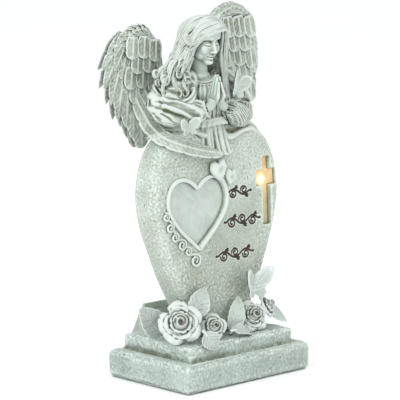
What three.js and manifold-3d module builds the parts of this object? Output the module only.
// A lit memorial angel figurine in cast resin. An angel prays above a leaning heart-shaped stone that
// carries a heart photo frame and a cross window with an amber lamp behind it. Roses, leaves and
// butterflies are bonded on, a two-step plinth carries it all, and a solar housing sits at the back.
// Millimetres, +Z up, the front faces -Y, and the origin is the centre of the plinth's underside.
import * as THREE from "three";
import { mergeVertices } from "three/addons/utils/BufferGeometryUtils.js";
import Module from "manifold-3d";

// ---- driving dimensions ----
const GAP = 0.3; // between bonded castings
const OVERSHOOT = 2; // how far a cutting tool stands out of the face it cuts, so that no skin is left
const PLINTH = { width: 140, depth: 96, height: 24, bevel: 4 };
const STEP = { width: 117, depth: 82, height: 12, bevel: 2, backSet: 1.5 };
const STEP_TOP = PLINTH.height + STEP.height;
const HEART = { halfWidth: 72.5, lobe: 36, top: 206.5, dip: 188, front: -17, thickness: 28, bevel: 5, lean: 2.75 };
const HEART_BACK = HEART.front + HEART.thickness;
const FRAME = { x: -25, halfWidth: 34.5, tip: 106.6, top: 168.5, rim: 2.8, depth: 4, play: 0.6 };
const CROSS = { x: 56, foot: 120, arms: 160, top: 177.5, halfSpan: 12.5, stem: 10, armHeight: 13.5, depth: 7 };
const WINDOW = 1.6; // thickness of the amber cross
const LAMP = { width: 12, low: 125, high: 176, ledZ: 158, ledRadius: 2.5 };
const COVER = { halfWidth: 7, thickness: 2.4, lip: 8, screwInset: 4 };
const HOUSING = { halfWidth: 34, top: 57, foot: 5, rear: 64, wall: 2, ridge: 2.4, knee: 20 };
const BATTERY = { radius: 5.1, length: 30 }; // a two-thirds AAA rechargeable cell
const SCREW = { head: 2.4, headHeight: 0.9, shank: 1.1, length: 6 };

// ---- materials ----
const paint = (color, roughness, metalness = 0) =>
  new THREE.MeshStandardMaterial({ color, roughness, metalness });
const stone = paint(0xc3cbc2, 0.9);
const pale = paint(0xd8dfd9, 0.8);
const amber = paint(0xe2b478, 0.45);
const greyPlastic = paint(0x8c938d, 0.55);
const darkPlastic = paint(0x2b2d2c, 0.5);
const cellBlue = paint(0x141c3a, 0.2);
const clear = paint(0xdfe8ee, 0.08);
const steel = paint(0xb9bcc0, 0.3, 1);
const boardGreen = paint(0x1f6a3a, 0.5);
const cellGreen = paint(0x3f9a4c, 0.4);
const ledResin = paint(0xfff0c8, 0.2);
const copper = paint(0xc23a2c, 0.5);

// ---- solids ----
const wasm = await Module();
wasm.setup();

function solidOf(geometry) {
  const bare = geometry.clone();
  bare.deleteAttribute("normal");
  bare.deleteAttribute("uv");
  const merged = mergeVertices(bare, 1e-4);
  return new wasm.Manifold(
    new wasm.Mesh({
      numProp: 3,
      vertProperties: merged.attributes.position.array,
      triVerts: new Uint32Array(merged.index.array),
    }),
  );
}

function geometryOf(solid) {
  const mesh = solid.getMesh();
  return new THREE.BufferGeometry()
    .setAttribute("position", new THREE.BufferAttribute(mesh.vertProperties, 3))
    .setIndex(new THREE.BufferAttribute(mesh.triVerts, 1))
    .toNonIndexed();
}

const joined = (...solids) => solids.reduce((all, next) => all.add(next));
const cutBy = (solid, ...tools) => tools.reduce((left, tool) => left.subtract(tool), solid);

// The largest connected piece, so that a cut never leaves a loose crumb.
function mainPiece(solid) {
  return solid.decompose().sort((a, b) => b.volume() - a.volume())[0];
}

function box(x0, x1, y0, y1, z0, z1) {
  const geometry = new THREE.BoxGeometry(x1 - x0, y1 - y0, z1 - z0);
  return solidOf(geometry.translate((x0 + x1) / 2, (y0 + y1) / 2, (z0 + z1) / 2));
}

function ball(x, y, z, rx, ry, rz, detail = 16) {
  const geometry = new THREE.SphereGeometry(1, detail, Math.round(detail / 2));
  return solidOf(geometry.rotateX(Math.PI / 2).scale(rx, ry, rz).translate(x, y, z));
}

// A round bar between two points.
function bar(from, to, radius, sides = 16) {
  const start = new THREE.Vector3(...from);
  const along = new THREE.Vector3(...to).sub(start);
  const turn = new THREE.Quaternion().setFromUnitVectors(
    new THREE.Vector3(0, 1, 0),
    along.clone().normalize(),
  );
  const geometry = new THREE.CylinderGeometry(radius, radius, along.length(), sides);
  const middle = start.add(along.multiplyScalar(0.5));
  return solidOf(geometry.applyQuaternion(turn).translate(middle.x, middle.y, middle.z));
}

// A shape drawn in X and Z, standing upright from y = back towards the viewer at -Y.
function upright(shape, depth, back, bevel = 0, grow = 0, curveSegments = 10) {
  const geometry = new THREE.ExtrudeGeometry(shape, {
    depth: depth - 2 * bevel + 2 * grow,
    curveSegments,
    bevelEnabled: bevel > 0 || grow > 0,
    bevelThickness: bevel,
    bevelSize: bevel > 0 ? bevel : 0.001,
    bevelOffset: grow - bevel,
    bevelSegments: bevel > 2 ? 3 : 1,
  });
  return solidOf(geometry.rotateX(Math.PI / 2).translate(0, back + grow - bevel, 0));
}

// Closed skin over rings of points, each ring in the same order, capped flat at both ends.
function skin(rings) {
  const sides = rings[0].length;
  const positions = rings.flat().flatMap((p) => [p.x, p.y, p.z]);
  const faces = [];
  for (let r = 0; r < rings.length - 1; r++)
    for (let s = 0; s < sides; s++) {
      const a = r * sides + s;
      const b = r * sides + ((s + 1) % sides);
      faces.push(a, b, b + sides, a, b + sides, a + sides);
    }
  const last = (rings.length - 1) * sides;
  for (let s = 1; s < sides - 1; s++) {
    faces.push(0, s + 1, s);
    faces.push(last, last + s, last + s + 1);
  }
  return new THREE.BufferGeometry()
    .setAttribute("position", new THREE.Float32BufferAttribute(positions, 3))
    .setIndex(faces);
}

// Level oval rings stacked upwards: each row is [z, centre x, centre y, radius x, radius y].
function stack(rows, grow = 0, sides = 20) {
  const rings = rows.map(([z, cx, cy, rx, ry]) =>
    Array.from({ length: sides }, (_, i) => {
      const angle = (2 * Math.PI * i) / sides;
      const x = cx + (rx + grow) * Math.cos(angle);
      const y = cy + (ry + grow) * Math.sin(angle);
      return new THREE.Vector3(x, y, z);
    }),
  );
  return solidOf(skin(rings));
}

// A limb along a smooth curve: each row is [x, y, z, radius].
function limb(rows, grow = 0, sides = 12, steps = 12) {
  const curve = new THREE.CatmullRomCurve3(rows.map((r) => new THREE.Vector3(r[0], r[1], r[2])));
  const frames = curve.computeFrenetFrames(steps, false);
  const rings = [];
  for (let i = 0; i <= steps; i++) {
    const at = (i / steps) * (rows.length - 1);
    const row = Math.min(Math.floor(at), rows.length - 2);
    const radius = THREE.MathUtils.lerp(rows[row][3], rows[row + 1][3], at - row) + grow;
    const centre = curve.getPoint(i / steps);
    const ring = [];
    for (let s = 0; s < sides; s++) {
      const angle = (2 * Math.PI * s) / sides;
      ring.push(
        centre
          .clone()
          .addScaledVector(frames.normals[i], radius * Math.cos(angle))
          .addScaledVector(frames.binormals[i], radius * Math.sin(angle)),
      );
    }
    rings.push(ring);
  }
  return solidOf(skin(rings));
}

function moved(solid, { turnX = 0, turnY = 0, turnZ = 0, to = [0, 0, 0] }) {
  return solid.rotate([turnX, turnY, turnZ]).translate(to);
}

// ---- outlines ----
// A heart outline with its tip cut flat at the foot, drawn in X and Z.
function stoneHeart() {
  const { halfWidth: w, lobe, top, dip } = HEART;
  const foot = STEP_TOP - 6;
  const footHalf = 22.5;
  const shape = new THREE.Shape();
  shape.moveTo(0, dip);
  shape.bezierCurveTo(8, dip + 11, lobe - 14, top, lobe, top);
  shape.bezierCurveTo(58, top, w, 182, w, 152);
  shape.bezierCurveTo(w, 118, 45, 70, footHalf, foot);
  shape.lineTo(-footHalf, foot);
  shape.bezierCurveTo(-45, 70, -w, 118, -w, 152);
  shape.bezierCurveTo(-w, 182, -58, top, -lobe, top);
  shape.bezierCurveTo(14 - lobe, top, -8, dip + 11, 0, dip);
  return shape;
}

// A pointed heart about x = 0 with its tip at z = 0, `half` wide each way and `height` tall.
function heartOutline(half, height, Kind = THREE.Shape) {
  const dip = height * 0.85;
  const wide = height * 0.68;
  const shape = new Kind();
  shape.moveTo(0, dip);
  shape.bezierCurveTo(half * 0.2, height * 0.97, half * 0.38, height, half * 0.53, height);
  shape.bezierCurveTo(half * 0.82, height, half, height * 0.86, half, wide);
  shape.bezierCurveTo(half, height * 0.44, half * 0.42, height * 0.2, 0, 0);
  shape.bezierCurveTo(-half * 0.42, height * 0.2, -half, height * 0.44, -half, wide);
  shape.bezierCurveTo(-half, height * 0.86, -half * 0.82, height, -half * 0.53, height);
  shape.bezierCurveTo(-half * 0.38, height, -half * 0.2, height * 0.97, 0, dip);
  return shape;
}

function crossOutline(shrink = 0) {
  const { x, foot, arms, top, halfSpan, stem, armHeight } = CROSS;
  const s = stem / 2 - shrink;
  const a = halfSpan - shrink;
  const h = armHeight / 2 - shrink;
  return new THREE.Shape(
    [
      [x - s, foot + shrink],
      [x + s, foot + shrink],
      [x + s, arms - h],
      [x + a, arms - h],
      [x + a, arms + h],
      [x + s, arms + h],
      [x + s, top - shrink],
      [x - s, top - shrink],
      [x - s, arms + h],
      [x - a, arms + h],
      [x - a, arms - h],
      [x - s, arms - h],
    ].map((p) => new THREE.Vector2(...p)),
  );
}

const coverScrewHeights = [LAMP.low - COVER.screwInset, LAMP.high + COVER.screwInset];

// ---- the heart stone and what leans with it ----
// Everything on the stone is drawn upright and then leans back about the plinth's top.
function leaned(solid) {
  return solid
    .translate([0, 0, -STEP_TOP])
    .rotate([-HEART.lean, 0, 0])
    .translate([0, 0, STEP_TOP]);
}

const aboveStep = box(-150, 150, -100, 100, STEP_TOP + GAP, 400);

function heartBlank(grow = 0) {
  return leaned(upright(stoneHeart(), HEART.thickness, HEART_BACK, HEART.bevel, grow));
}

function frameHeart(inset) {
  const height = FRAME.top - FRAME.tip;
  const half = FRAME.halfWidth - inset;
  return { shape: heartOutline(half, height - inset * 2.4), lift: FRAME.tip + inset * 1.4 };
}

function frameSolid(inset, depth, back) {
  const { shape, lift } = frameHeart(inset);
  return upright(shape, depth, back).translate([FRAME.x, 0, lift]);
}

const wireRoute = [
  [CROSS.x, -1, LAMP.low + 3],
  [50, -1, 112],
  [24, 0, 52],
  [20, 4, 33],
  [20, 26, 29],
  [20, 41, 29],
  [20, 49, 30],
];

const wireTunnel = () => alongRoute(2.2, 30);

function alongRoute(radius, steps) {
  const circle = new THREE.Shape().absarc(0, 0, radius, 0, 2 * Math.PI);
  const points = wireRoute.map((p) => new THREE.Vector3(...p));
  const extrudePath = new THREE.CatmullRomCurve3(points, false, "centripetal");
  return solidOf(new THREE.ExtrudeGeometry(circle, { steps, extrudePath, curveSegments: 4 }));
}

function heartStone() {
  const { x } = CROSS;
  const chamber = box(x - LAMP.width / 2, x + LAMP.width / 2, HEART.front + 6, 30, LAMP.low, LAMP.high);
  const seat = box(
    x - COVER.halfWidth - GAP,
    x + COVER.halfWidth + GAP,
    HEART_BACK - COVER.thickness - GAP,
    30,
    LAMP.low - COVER.lip - GAP,
    LAMP.high + COVER.lip + GAP,
  );
  const screwHoles = coverScrewHeights.map((z) =>
    bar([x, HEART_BACK - SCREW.length - 3, z], [x, HEART_BACK, z], SCREW.shank + GAP, 8),
  );
  const recess = frameSolid(FRAME.rim, FRAME.depth + OVERSHOOT, HEART.front + FRAME.depth);
  const cross = upright(crossOutline(), CROSS.depth + OVERSHOOT, HEART.front + CROSS.depth);
  const stoneWithPockets = cutBy(heartBlank(), ...[chamber, seat, recess, cross, ...screwHoles].map(leaned));
  return cutBy(stoneWithPockets, wireTunnel()).intersect(aboveStep);
}

function photoFrame() {
  const rim = 2;
  const ring = frameSolid(0, rim, HEART.front - GAP).subtract(
    frameSolid(FRAME.rim, rim * 3, HEART.front + rim),
  );
  return leaned(ring);
}

function scrollTrim() {
  const curls = [
    [-61, 139, 3.4],
    [-57, 130, 4],
    [-52, 121.5, 4],
    [-44.5, 114.5, 4.4],
    [-38, 108.5, 3.6],
    [-30, 100.2, 5.4],
  ];
  const band = curls.map(([cx, cz, r]) => bar([cx, HEART.front - GAP, cz], [cx, HEART.front - 2.3, cz], r, 14));
  const links = curls.slice(1).map(([cx, cz], i) => {
    const [px, pz] = curls[i];
    return bar([px, HEART.front - 1.3, pz], [cx, HEART.front - 1.3, cz], 0.9, 6);
  });
  const holes = curls.map(([cx, cz, r]) => bar([cx, HEART.front + 1, cz], [cx, HEART.front - 4, cz], r - 1.9, 10));
  const clearOfFrame = frameSolid(-GAP, 4, HEART.front + 1);
  return leaned(mainPiece(cutBy(joined(...band, ...links), ...holes, clearOfFrame)));
}

function smallHeart(half, height, x, z, turn, front) {
  const solid = upright(heartOutline(half, height), 3.2, 0, 0.8).translate([0, 0, -height / 2]);
  return leaned(moved(solid, { turnY: turn, to: [x, front, z] }));
}

// ---- lamp ----
function crossWindow() {
  const back = HEART.front + CROSS.depth - GAP;
  return leaned(upright(crossOutline(GAP), WINDOW, back));
}

function lampCover() {
  const { halfWidth, thickness, lip } = COVER;
  const plate = box(
    CROSS.x - halfWidth,
    CROSS.x + halfWidth,
    HEART_BACK - thickness,
    HEART_BACK,
    LAMP.low - lip,
    LAMP.high + lip,
  );
  const holes = coverScrewHeights.map((z) =>
    joined(
      bar([CROSS.x, 0, z], [CROSS.x, HEART_BACK + 1, z], SCREW.shank + GAP, 8),
      bar([CROSS.x, HEART_BACK - 1.4, z], [CROSS.x, HEART_BACK + 1, z], SCREW.head + GAP, 12),
    ),
  );
  return leaned(cutBy(plate, ...holes));
}

const ledFront = HEART.front + CROSS.depth + 4;

function led() {
  const rim = bar([CROSS.x, ledFront + 8, LAMP.ledZ], [CROSS.x, ledFront + 9, LAMP.ledZ], 2.9);
  const tube = bar([CROSS.x, ledFront + 2, LAMP.ledZ], [CROSS.x, ledFront + 8.5, LAMP.ledZ], LAMP.ledRadius);
  const dome = ball(CROSS.x, ledFront + 2, LAMP.ledZ, LAMP.ledRadius, LAMP.ledRadius, LAMP.ledRadius);
  return leaned(joined(rim, tube, dome));
}

function ledHolder() {
  const half = LAMP.width / 2 - GAP;
  const block = box(CROSS.x - half, CROSS.x + half, ledFront + 4, ledFront + 7, LAMP.ledZ - 6, LAMP.ledZ + 6);
  return leaned(block.subtract(bar([CROSS.x, -30, LAMP.ledZ], [CROSS.x, 30, LAMP.ledZ], 2.6)));
}

function lampWire() {
  return alongRoute(0.8, 36);
}

// ---- plinth ----
function slab(width, depth, height, bevel, z, y = 0, grow = 0) {
  const outline = new THREE.Shape();
  const w = width / 2;
  const d = depth / 2;
  outline.moveTo(-w, -d).lineTo(w, -d).lineTo(w, d).lineTo(-w, d).lineTo(-w, -d);
  const geometry = new THREE.ExtrudeGeometry(outline, {
    depth: height - 2 * bevel + grow,
    bevelThickness: bevel,
    bevelSize: bevel,
    bevelOffset: grow - bevel,
    bevelSegments: 2,
  });
  return solidOf(geometry.translate(0, y, z + bevel));
}

function plinth() {
  const lower = slab(PLINTH.width, PLINTH.depth, PLINTH.height, PLINTH.bevel, 0);
  const upper = slab(STEP.width, STEP.depth, STEP.height + 6, STEP.bevel, PLINTH.height - 6, STEP.backSet);
  return cutBy(joined(lower, upper), wireTunnel(), housingBlank(GAP));
}

// ---- solar housing behind the plinth ----
const stepBack = STEP.depth / 2 + STEP.backSet;
const plinthBack = PLINTH.depth / 2;
const panelSlope = (HOUSING.rear - stepBack - HOUSING.ridge) / (HOUSING.top - HOUSING.knee);
const panelAngle = (Math.atan(panelSlope) * 180) / Math.PI;

// The wedge's side outline in Y and Z, standing behind both steps of the plinth.
function wedgeOutline(inset = 0) {
  const { top, foot, rear, ridge, knee } = HOUSING;
  const front = stepBack + GAP + inset;
  return new THREE.Shape(
    [
      [plinthBack + GAP + inset, foot + inset],
      [rear - inset, foot + inset],
      [rear - inset, knee],
      [stepBack + ridge, top - inset * 2],
      [front, top - inset * 2],
      [front, PLINTH.height + GAP + inset],
      [plinthBack + GAP + inset, PLINTH.height + GAP + inset],
    ].map((p) => new THREE.Vector2(...p)),
  );
}

function wedge(halfWidth, inset) {
  const geometry = new THREE.ExtrudeGeometry(wedgeOutline(inset), { depth: 2 * halfWidth, bevelEnabled: false });
  const swap = new THREE.Matrix4().makeBasis(
    new THREE.Vector3(0, 1, 0),
    new THREE.Vector3(0, 0, 1),
    new THREE.Vector3(1, 0, 0),
  );
  return solidOf(geometry.applyMatrix4(swap).translate(-halfWidth, 0, 0));
}

function housingBlank(grow = 0) {
  return wedge(HOUSING.halfWidth + grow, -grow);
}

// A point on the sloping solar face: `up` the slope from the knee, `out` from the face.
function onSlope(x, up, out) {
  const angle = Math.atan(panelSlope);
  const y = HOUSING.rear - up * Math.sin(angle) + out * Math.cos(angle);
  const z = HOUSING.knee + up * Math.cos(angle) + out * Math.sin(angle);
  return [x, y, z];
}

function slopePlate(halfWidth, low, high, bottom, top) {
  const plate = box(-halfWidth, halfWidth, bottom, top, low, high);
  return moved(plate, { turnX: panelAngle, to: [0, HOUSING.rear, HOUSING.knee] });
}

const DOOR = { x: -6, half: 25, low: 7.5, high: 18.5, thickness: 1.8, screwX: -27, screwZ: 13 };
const KNOB = { x: 27, z: 13, half: 3.2, slot: 5, travel: 3 };
const SWITCH_DEPTH = 4;

function solarHousing() {
  const { halfWidth, wall, rear } = HOUSING;
  const inner = wedge(halfWidth - wall, wall);
  const frontOpening = box(
    -halfWidth + 4,
    halfWidth - 4,
    stepBack - 2,
    stepBack + wall + 1,
    STEP_TOP + 2,
    HOUSING.top - 5,
  );
  const wireHole = bar([20, plinthBack - 6, 30], [20, plinthBack + 6, 30], 2.4, 10);
  const doorHole = box(
    DOOR.x - DOOR.half - GAP,
    DOOR.x + DOOR.half + GAP,
    rear - wall - 1,
    rear + 1,
    DOOR.low - GAP,
    DOOR.high + GAP,
  );
  const knobSlot = box(KNOB.x - KNOB.slot, KNOB.x + KNOB.slot, rear - wall - 1, rear + 1, KNOB.z - 1.9, KNOB.z + 1.9);
  const panelSeat = slopePlate(29.5, 3.5, 36.5, -1.9, 3);
  const { screwX, screwZ } = DOOR;
  const bossFoot = plinthBack + GAP + wall / 2;
  const boss = bar([screwX, bossFoot, screwZ], [screwX, rear - wall - GAP, screwZ], 3.2);
  const bossHole = bar([screwX, bossFoot + wall, screwZ], [screwX, rear, screwZ], SCREW.shank + GAP, 8);
  const shell = cutBy(housingBlank(), inner, frontOpening, wireHole, doorHole, knobSlot, panelSeat);
  return joined(shell, boss).subtract(bossHole);
}

function housingPlug() {
  const { halfWidth, wall } = HOUSING;
  const y = stepBack + GAP;
  return box(
    -halfWidth + 4 + GAP,
    halfWidth - 4 - GAP,
    y,
    y + wall - 0.4,
    STEP_TOP + 2 + GAP,
    HOUSING.top - 5 - GAP,
  );
}

function batteryDoor() {
  const { rear } = HOUSING;
  const door = box(DOOR.x - DOOR.half, DOOR.x + DOOR.half, rear - DOOR.thickness, rear, DOOR.low, DOOR.high);
  const grips = [-4, 0, 4].map((dx) =>
    box(DOOR.x + dx - 0.7, DOOR.x + dx + 0.7, rear - 0.5, rear + 1, DOOR.low + 2, DOOR.high - 2),
  );
  const { screwX: x, screwZ: z } = DOOR;
  const shankHole = bar([x, rear - 5, z], [x, rear + 1, z], SCREW.shank + GAP, 8);
  const headSeat = bar([x, rear - 1.3, z], [x, rear + 1, z], SCREW.head + GAP, 12);
  return cutBy(door, ...grips, shankHole, headSeat);
}

function battery() {
  const half = BATTERY.length / 2;
  const y = plinthBack + 8.4;
  const z = 13;
  const can = bar([DOOR.x - half + 1.2, y, z], [DOOR.x + half, y, z], BATTERY.radius, 24);
  const button = bar([DOOR.x - half, y, z], [DOOR.x - half + 1.5, y, z], 1.8, 12);
  return joined(can, button);
}

function contact(x) {
  const y = plinthBack + 8.4;
  return box(x - 0.3, x + 0.3, y - 4, y + 4, 9, 17);
}

// A cone-shaped contact spring: a wire wound a few turns, its coils standing apart along X.
function contactSpring() {
  const turns = 3.5;
  const y = plinthBack + 8.4;
  const from = DOOR.x + BATTERY.length / 2 + 0.6;
  const length = 4;
  const points = Array.from({ length: 43 }, (_, i) => {
    const t = i / 42;
    const angle = 2 * Math.PI * turns * t;
    const radius = 2 + 2 * t;
    return new THREE.Vector3(from + length * t, y + radius * Math.cos(angle), 13 + radius * Math.sin(angle));
  });
  const circle = new THREE.Shape().absarc(0, 0, 0.3, 0, 2 * Math.PI);
  const extrudePath = new THREE.CatmullRomCurve3(points);
  return solidOf(new THREE.ExtrudeGeometry(circle, { steps: 56, extrudePath, curveSegments: 3 }));
}

function circuitBoard() {
  return box(-26, 16, plinthBack + 3.6, plinthBack + 5, 22, 34);
}

function switchBody() {
  const y = HOUSING.rear - HOUSING.wall - GAP;
  return box(KNOB.x - 5.5, KNOB.x + 4.5, y - SWITCH_DEPTH, y, KNOB.z - 3.4, KNOB.z + 3.4);
}

function switchKnob() {
  const y = HOUSING.rear - HOUSING.wall;
  const start = KNOB.x - KNOB.travel / 2;
  const stemHalf = KNOB.half - 0.2;
  const knob = box(start - stemHalf + 0.2, start + stemHalf - 0.2, y, HOUSING.rear + 1.4, KNOB.z - 1.6, KNOB.z + 1.6);
  const grooves = [-1.4, 0, 1.4].map((dx) =>
    box(start + dx - 0.3, start + dx + 0.3, HOUSING.rear + 0.9, HOUSING.rear + 3, KNOB.z - 3, KNOB.z + 3),
  );
  return cutBy(knob, ...grooves);
}

function screw(from, direction) {
  const [x, y, z] = from;
  const d = new THREE.Vector3(...direction);
  const at = (distance) => [x + d.x * distance, y + d.y * distance, z + d.z * distance];
  const head = bar(at(0), at(SCREW.headHeight), SCREW.head, 12);
  const shank = bar(at(SCREW.headHeight / 2), at(SCREW.length), SCREW.shank, 8);
  const slot = bar(at(-1), at(0.4), 0.8, 4);
  return cutBy(joined(head, shank), slot);
}

// ---- the angel ----
// The figure stands in the stone's dip and sways towards -X as it rises.
function torso(grow = 0) {
  return stack(
    [
      [213, -4, 3, 15, 10.5],
      [224, -5, 2.5, 16, 11.5],
      [238, -8, 2, 19, 12.5],
      [247, -10, 3, 22, 11],
      [252, -10, 3, 14, 8.5],
      [255, -10.5, 1.5, 6.6, 6.4],
      [261, -10.5, 0, 6, 6],
    ],
    grow,
  );
}

function skirt(grow = 0) {
  const gown = stack(
    [
      [184.5, 3, 7, 15, 21],
      [190, 2, 7, 19, 21],
      [198, 0, 6, 23, 19],
      [206, -2, 4.5, 21, 15.5],
      [212.5, -4, 3, 15.5, 11],
    ],
    grow,
    16,
  );
  const trail = limb(
    [
      [10, 6, 208, 9],
      [28, 8, 209, 8],
      [44, 9, 206, 7],
      [58, 10, 198, 4.5],
    ],
    grow,
    10,
    8,
  );
  return joined(gown, trail);
}

const SLEEVES = {
  left: [
    [-31, 4, 246, 7.5],
    [-44, 6, 239, 9.5],
    [-50, 3, 228, 10.5],
    [-38, -8, 223, 9.5],
    [-26, -14, 222, 6],
  ],
  right: [
    [11, 4, 244, 7],
    [22, 3, 235, 8],
    [32, -1, 222, 8.5],
    [24, -10, 215, 8],
    [8, -15, 220, 6],
  ],
};

const sleeve = (side, grow = 0) => limb(SLEEVES[side], grow, 10, 10);

const FOREARMS = {
  left: [
    [-32, -11, 222, 4],
    [-20, -16, 224, 4],
    [-14.5, -19.5, 229, 4],
    [-13, -20, 237, 4],
    [-12, -20, 248, 2.4],
    [-11.8, -19.5, 253, 1.4],
  ],
  right: [
    [15, -12, 219, 4],
    [0, -17, 222, 4],
    [-6.5, -19.5, 229, 4],
    [-8, -20, 237, 4],
    [-9, -20, 248, 2.4],
    [-9.2, -19.5, 253, 1.4],
  ],
};
const PALM_X = -10.5; // where the two palms meet

function forearm(side, grow = 0) {
  const half = GAP / 2 - grow;
  const keep =
    side === "left" ? box(-90, PALM_X - half, -90, 60, 150, 300) : box(PALM_X + half, 90, -90, 60, 150, 300);
  return limb(FOREARMS[side], grow, 10, 12).intersect(keep);
}

function head(grow = 0) {
  const skull = ball(-11, -2.5, 278, 12.5 + grow, 15 + grow, 18 + grow, 16);
  const hairCap = ball(-12, 2, 282, 16.5 + grow, 16.5 + grow, 16.5 + grow, 16);
  const blownHair = limb(
    [
      [-16, 8, 282, 12],
      [-26, 9, 268, 12],
      [-37, 9, 256, 10],
      [-48, 9, 250, 7],
      [-57, 9, 245, 4],
    ],
    grow,
    10,
    10,
  );
  const backHair = limb(
    [
      [-10, 13, 280, 10],
      [-10, 17, 264, 11],
      [-9, 17, 248, 10],
      [-8, 16, 238, 6],
    ],
    grow,
    10,
    8,
  );
  const nearHair = limb(
    [
      [1, 2, 277, 6],
      [5, -2, 266, 5.5],
      [8, -6, 254, 4.5],
      [8, -11, 240, 3.5],
      [7, -15, 230, 2],
    ],
    grow,
    8,
    8,
  );
  return joined(skull, hairCap, backHair, blownHair, nearHair);
}

// A wing seen from the front: a rounded arch above, feather tips down the outer edge.
const WING_BACK = 34;
const FEATHER_TIPS = {
  // the left wing fans out in points
  left: [
    [83, 273], [79, 270], [90, 260], [83, 257], [88, 245], [80, 243], [79, 231], [74, 230], [71, 218], [66, 221],
    [61, 212], [56, 213], [53, 203], [50, 203], [46, 192], [38, 199], [34, 208], [26, 216],
  ],
  // the right wing hangs straighter, in round ends
  right: [
    [76, 268], [76, 252], [76, 236], [73, 222], [67, 211], [61, 204], [53, 199], [45, 199], [36, 204], [28, 212],
  ],
};

function wing(side, lift, grow = 0) {
  const arch = new THREE.Shape();
  arch.moveTo(19, 236);
  arch.bezierCurveTo(22, 262, 22, 294, 46, 295);
  arch.bezierCurveTo(62, 295, 72, 288, 75, 279);
  for (const [x, z] of FEATHER_TIPS[side]) arch.lineTo(x, z);
  arch.lineTo(19, 236);
  const plate = upright(arch, 8, WING_BACK, 1.5, grow, 8).translate([0, 0, lift]);
  const root = limb(
    [
      [2, 12, 236, 6],
      [12, 20, 240, 7],
      [27, 29, 248, 6],
    ],
    grow,
    10,
    6,
  );
  const made = joined(plate, root);
  return side === "left" ? made.scale([-1, 1, 1]).translate([-4, 0, 0]) : made;
}

// The long lowest feather of the left wing, lying round and over the stone's left lobe.
function sweptFeather(grow = 0) {
  return limb(
    [
      [-57, 20, 219, 4],
      [-57, 9, 209, 5],
      [-57, -4, 202, 5.5],
      [-47, -11.5, 196.5, 6],
      [-30, -13, 192.5, 6],
      [-12, -14, 189, 5],
      [3, -13.5, 186, 2],
    ],
    grow,
    10,
    14,
  );
}

// ---- flowers ----
const ROSES = [
  { name: "rose_large", radius: 17.5, to: [-56, -24.5, 55], turnX: 70, turnZ: -40 },
  { name: "rose_middle", radius: 11, to: [-22.5, -29.5, 48], turnX: 66, turnZ: -25 },
  { name: "rose_right", radius: 13.5, to: [24.5, -28, 50], turnX: 62, turnZ: -18 },
  { name: "rose_end", radius: 10, to: [48, -23, 54.5], turnX: 60, turnZ: 30 },
];

// An open rose facing +Z: a cup of petals round a raised bud.
const BLOOM = [
  [0, -0.62],
  [0.42, -0.6],
  [0.82, -0.32],
  [1, 0.08],
  [0.9, 0.16],
  [0.72, 0.12],
  [0.7, 0.3],
  [0.5, 0.24],
  [0.46, 0.42],
  [0.26, 0.38],
  [0.16, 0.5],
  [0, 0.5],
];
const BLOOM_ENVELOPE = BLOOM.filter(([x, z]) => x === 0 || z < 0.1).toSpliced(4, 0, [0.94, 0.22], [0.5, 0.48]);

function bloom(profile, radius) {
  const points = profile.map(([x, z]) => new THREE.Vector2(x * radius, z * radius));
  return solidOf(new THREE.LatheGeometry(points, 20).rotateX(Math.PI / 2));
}

const roseAt = (solid, { to, turnX, turnZ }) => moved(moved(solid, { turnX }), { turnZ, to });
const rose = (spec) => roseAt(bloom(BLOOM, spec.radius), spec);
const roseRoom = (spec) => roseAt(bloom(BLOOM_ENVELOPE, spec.radius + 2 * GAP), spec);

// Each leaf runs from its stalk to its tip and shows its face along `face`.
const LEAVES = [
  { name: "leaf_far_left", half: 11, from: [-50, 3, 40], to: [-75, 2, 64], face: [-0.5, -0.8, 0.3] },
  { name: "leaf_upper", half: 9.5, from: [-41, -22, 57], to: [-24, -20.5, 78], face: [-0.3, -1, 0.1] },
  { name: "leaf_between", half: 7.5, from: [0, -26.5, 40], to: [13, -22.5, 66], face: [-0.3, -1, 0.1] },
  { name: "leaf_over_edge", half: 7.5, from: [-41, -37.5, 45.5], to: [-34, -44, 32.5], face: [-0.5, -1, 0.2] },
  { name: "leaf_low", half: 5.5, from: [-6, -35, 42.5], to: [12, -37, 38.6], face: [-0.1, -0.6, 1] },
  { name: "leaf_right", half: 8.5, from: [50, -23, 46], to: [70, -21, 40], face: [0, -0.8, 1] },
];

function leaf({ half, from, to, face }, grow = 0) {
  const start = new THREE.Vector3(...from);
  const up = new THREE.Vector3(...to).sub(start);
  const length = up.length();
  up.normalize();
  const out = new THREE.Vector3(...face);
  out.addScaledVector(up, -out.dot(up)).normalize();
  const across = up.clone().cross(out);
  const outline = new THREE.Shape();
  outline.moveTo(-1.4, 0);
  outline.bezierCurveTo(-half * 1.5, length * 0.3, -half, length * 0.7, 0, length);
  outline.bezierCurveTo(half, length * 0.7, half * 1.5, length * 0.3, 1.4, 0);
  outline.lineTo(-1.4, 0);
  const flat = upright(outline, 2.4, 1.2, 0.6, grow, 6);
  const stand = new THREE.Matrix4().makeBasis(across.negate(), out.negate(), up).setPosition(start);
  return flat.transform(stand.elements);
}

const BUTTERFLIES = [
  { name: "butterfly_left_sleeve", size: 11, to: [-41, -17.5, 209], turnX: 10, turnY: -6, turnZ: -20 },
  { name: "butterfly_right_sleeve", size: 15, to: [17, -11, 236], turnX: 0, turnY: 20, turnZ: 10 },
  { name: "butterfly_roses", size: 19, to: [29, -21.5, 69.5], turnX: 0, turnY: 0, turnZ: 0 },
];

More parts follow.
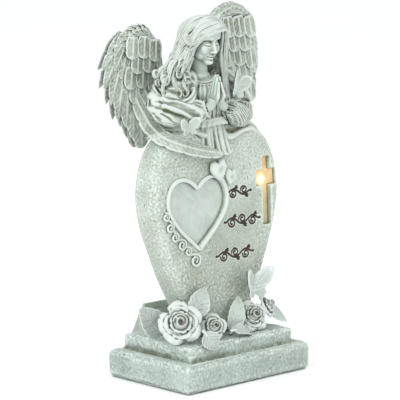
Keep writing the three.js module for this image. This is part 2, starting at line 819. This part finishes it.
function butterfly({ size, to, turnX, turnY, turnZ }, grow = 0) {
  const outline = new THREE.Shape();
  outline.moveTo(0, -size * 0.1);
  outline.bezierCurveTo(size * 0.5, -size * 0.1, size * 1.1, size * 0.4, size * 0.9, size);
  outline.bezierCurveTo(size * 0.4, size * 1.05, size * 0.05, size * 0.7, 0, size * 0.25);
  outline.lineTo(0, -size * 0.1);
  const open = 28;
  const right = moved(upright(outline, 1.8, 0.9, 0.4, grow, 6), { turnZ: -open });
  const left = right.scale([-1, 1, 1]);
  const body = ball(0, 0, size * 0.12, 1.5 + grow, 1.7 + grow, size * 0.36 + grow, 10);
  return moved(joined(right, left, body), { turnX, turnY, turnZ, to });
}

// ---- assembly ----
const figurine = new THREE.Group();
figurine.name = "angel_figurine";

function place(name, solid, material) {
  const mesh = new THREE.Mesh(geometryOf(mainPiece(solid)), material);
  mesh.name = name;
  figurine.add(mesh);
  return mesh;
}

const heartTool = heartBlank(GAP);
const plinthTool = box(-60, 60, -43, 48, 0, STEP_TOP + GAP);
const leftLift = -2;
const rightLift = 9;

place("plinth", plinth(), stone);
place("heart_stone", heartStone(), stone);
place("photo_frame", photoFrame(), pale);
place("scroll_trim", scrollTrim(), pale);
place("photo_insert", leaned(frameSolid(FRAME.rim + FRAME.play, 1.4, HEART.front + FRAME.depth - GAP)), pale);
place("small_heart_front", smallHeart(9, 18.5, -3, 172, -12, HEART.front - 2.9), pale);
place("small_heart_back", smallHeart(6.5, 14, 12.5, 165, 12, HEART.front - GAP), pale);

place("cross_window", crossWindow(), amber);
place("lamp_cover", lampCover(), greyPlastic);
coverScrewHeights.forEach((z, i) => {
  const made = leaned(screw([CROSS.x, HEART_BACK - 0.2, z], [0, -1, 0]));
  place(["cover_screw_low", "cover_screw_high"][i], made, steel);
});
place("led", led(), ledResin);
place("led_holder", ledHolder(), darkPlastic);
place("lamp_wire", lampWire(), copper);

const hands = [forearm("left", GAP), forearm("right", GAP)];
const bodyTools = [torso(GAP), skirt(GAP), heartTool];
place("dress_skirt", cutBy(skirt(), heartTool, sweptFeather(GAP), torso(GAP)), stone);
place("angel_torso", cutBy(torso(), ...hands), stone);
for (const side of ["left", "right"]) {
  place(`sleeve_${side}`, cutBy(sleeve(side), ...bodyTools, ...hands, sweptFeather(GAP)), stone);
  place(`praying_hand_${side}`, forearm(side), pale);
}
const figureTools = [...bodyTools, ...hands, sleeve("left", GAP), sleeve("right", GAP)];
place("angel_head", cutBy(head(), ...figureTools), pale);
place("wing_left", cutBy(wing("left", leftLift), ...figureTools, head(GAP)), stone);
place("wing_right", cutBy(wing("right", rightLift), ...figureTools, head(GAP)), stone);
place("wing_feather_left", cutBy(sweptFeather(), heartTool, wing("left", leftLift, GAP)), stone);

const grownRoses = ROSES.map(roseRoom);
ROSES.forEach((spec, i) => {
  place(spec.name, cutBy(rose(spec), heartTool, plinthTool, ...grownRoses.slice(0, i)), pale);
});
const placedLeaves = [];
for (const spec of LEAVES) {
  place(spec.name, cutBy(leaf(spec), heartTool, plinthTool, ...grownRoses, ...placedLeaves), pale);
  placedLeaves.push(leaf(spec, GAP));
}
const butterflyTools = [...figureTools, head(GAP), sweptFeather(GAP)];
for (const spec of BUTTERFLIES)
  place(spec.name, cutBy(butterfly(spec), ...butterflyTools, ...grownRoses, ...placedLeaves), pale);

place("solar_housing", solarHousing(), greyPlastic);
place("housing_plug", housingPlug(), greyPlastic);
place("solar_cell", slopePlate(29, 4, 36, -1.6, -0.7), cellBlue);
place("solar_glass", slopePlate(29, 4, 36, -0.4, 0.1), clear);
place("battery_door", batteryDoor(), greyPlastic);
place("door_screw", screw([DOOR.screwX, HOUSING.rear - 0.1, DOOR.screwZ], [0, -1, 0]), steel);
place("battery", battery(), cellGreen);
place("battery_contact", contact(DOOR.x - BATTERY.length / 2 - 0.8), steel);
place("battery_spring", contactSpring(), steel);
place("circuit_board", circuitBoard(), boardGreen);
place("switch_body", switchBody(), darkPlastic);
place("switch_knob", switchKnob(), darkPlastic);

export default figurine;
